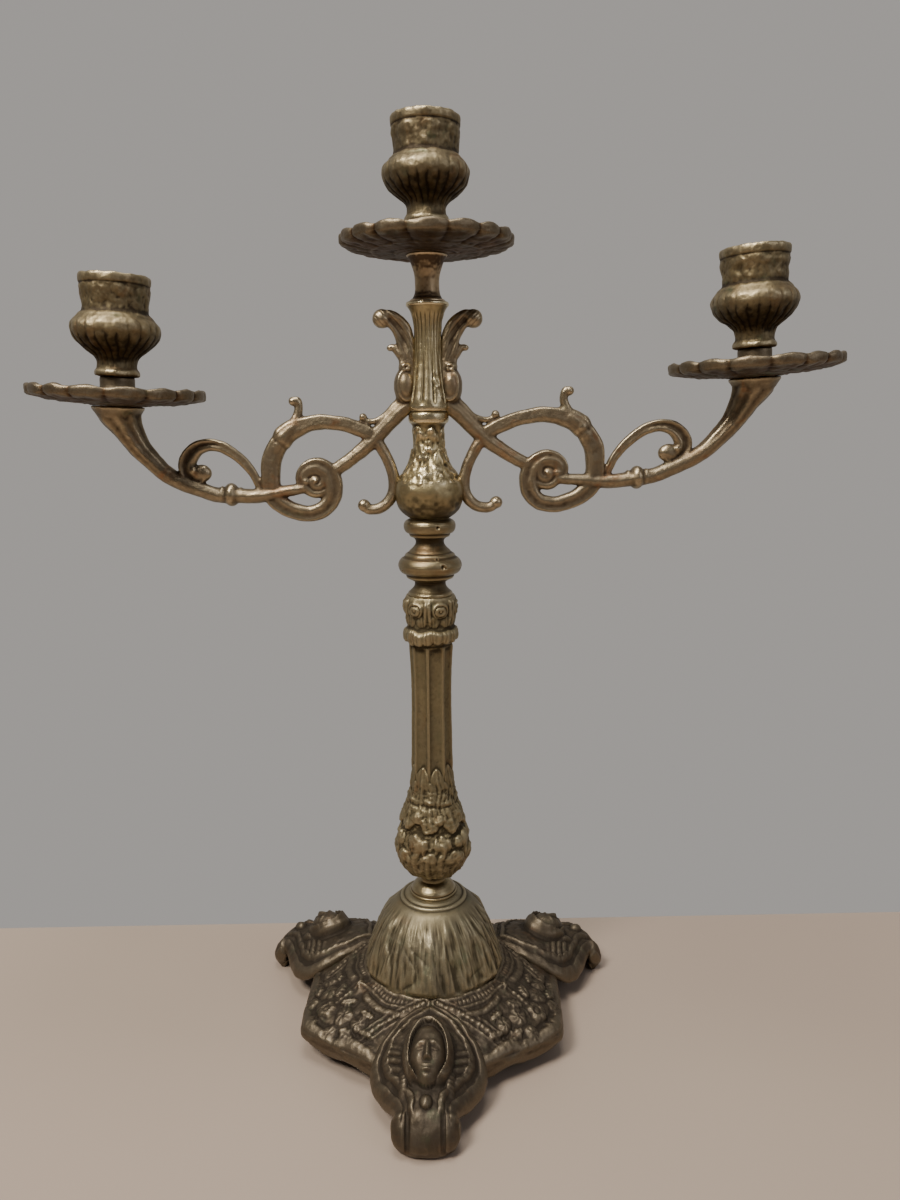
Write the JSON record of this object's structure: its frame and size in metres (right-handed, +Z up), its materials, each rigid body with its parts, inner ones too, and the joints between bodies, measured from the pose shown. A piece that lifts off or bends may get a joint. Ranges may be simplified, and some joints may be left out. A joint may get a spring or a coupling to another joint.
{
  "type": "candelabrum",
  "caption": "Table candelabrum: footed relief base, fluted cast stem, ball hub with scrolled side branches, scalloped drip pans and screw-on candle cups.",
  "frame": {"origin": "on the plane that the toes stand on, under the stem axis", "axes": "+Z up along the stem, X along the branches, the front foot towards -Y"},
  "size_m": [0.3313, 0.1538, 0.39],
  "materials": {
    "aged_brass_base": "aged, dark grey-brown patina in the relief, rubbed high spots",
    "aged_brass_stem": "aged, olive-brown, worn satin on the high spots",
    "aged_brass_turned": "turned, lightly polished, fine pits and tarnish in the grooves",
    "aged_brass_arms": "cast, file-dressed, tarnished in the crevices",
    "dark_brass_pans": "dark brown tarnish, rubbed rims",
    "aged_brass_cups": "aged cast surface with a little green in the hollows",
    "steel_hardware": "plain dulled steel"
  },
  "bodies": {
    "stand": {"base_casting": "aged_brass_base", "base_washer": "steel_hardware", "base_nut": "steel_hardware", "tie_rod": "steel_hardware", "base_collar": "aged_brass_turned", "stem_column": "aged_brass_stem", "ring_knop": "aged_brass_turned"},
    "branch_head": {"hub_baluster": "aged_brass_turned", "top_neck": "aged_brass_turned", "arm_left": "aged_brass_arms", "arm_right": "aged_brass_arms"},
    "stud_left": {"stud_left": "steel_hardware"},
    "cup_left": {"cup_left": "aged_brass_cups"},
    "pan_left": {"pan_left": "dark_brass_pans"},
    "stud_centre": {"stud_centre": "steel_hardware"},
    "cup_centre": {"cup_centre": "aged_brass_cups"},
    "pan_centre": {"pan_centre": "dark_brass_pans"},
    "stud_right": {"stud_right": "steel_hardware"},
    "cup_right": {"cup_right": "aged_brass_cups"},
    "pan_right": {"pan_right": "dark_brass_pans"}
  },
  "joints": [
    {"name": "head_swivel", "type": "hinge", "parent": "stand", "child": "branch_head", "pos_m": [0, 0, 0.234], "axis": [0, 0, 1], "continuous": true},
    {"name": "cup_left_turn", "type": "hinge", "parent": "branch_head", "child": "stud_left", "pos_m": [-0.127, 0, 0.28062], "axis": [0.0488, 0, 0.9988], "range_deg": [0, 1800]},
    {"name": "cup_left_lift", "type": "slide", "parent": "stud_left", "child": "cup_left", "axis": [0.0488, 0, 0.9988], "range_m": [0, 0.005]},
    {"name": "pan_left_spin", "type": "hinge", "parent": "branch_head", "child": "pan_left", "pos_m": [-0.127, 0, 0.28062], "axis": [0.0488, 0, 0.9988], "continuous": true},
    {"name": "cup_centre_turn", "type": "hinge", "parent": "branch_head", "child": "stud_centre", "pos_m": [0, 0, 0.339], "axis": [0, 0, 1], "range_deg": [0, 1800]},
    {"name": "cup_centre_lift", "type": "slide", "parent": "stud_centre", "child": "cup_centre", "axis": [0, 0, 1], "range_m": [0, 0.005]},
    {"name": "pan_centre_spin", "type": "hinge", "parent": "branch_head", "child": "pan_centre", "pos_m": [0, 0, 0.339], "axis": [0, 0, 1], "continuous": true},
    {"name": "cup_right_turn", "type": "hinge", "parent": "branch_head", "child": "stud_right", "pos_m": [0.135, 0, 0.29079], "axis": [-0.0576, 0, 0.9983], "range_deg": [0, 1800]},
    {"name": "cup_right_lift", "type": "slide", "parent": "stud_right", "child": "cup_right", "axis": [-0.0576, 0, 0.9983], "range_m": [0, 0.005]},
    {"name": "pan_right_spin", "type": "hinge", "parent": "branch_head", "child": "pan_right", "pos_m": [0.135, 0, 0.29079], "axis": [-0.0576, 0, 0.9983], "continuous": true}
  ],
  "couplings": [
    {"joint": "cup_left_lift", "follows": "cup_left_turn", "m_per_rad": 0.00015915},
    {"joint": "cup_centre_lift", "follows": "cup_centre_turn", "m_per_rad": 0.00015915},
    {"joint": "cup_right_lift", "follows": "cup_right_turn", "m_per_rad": 0.00015915}
  ]
}
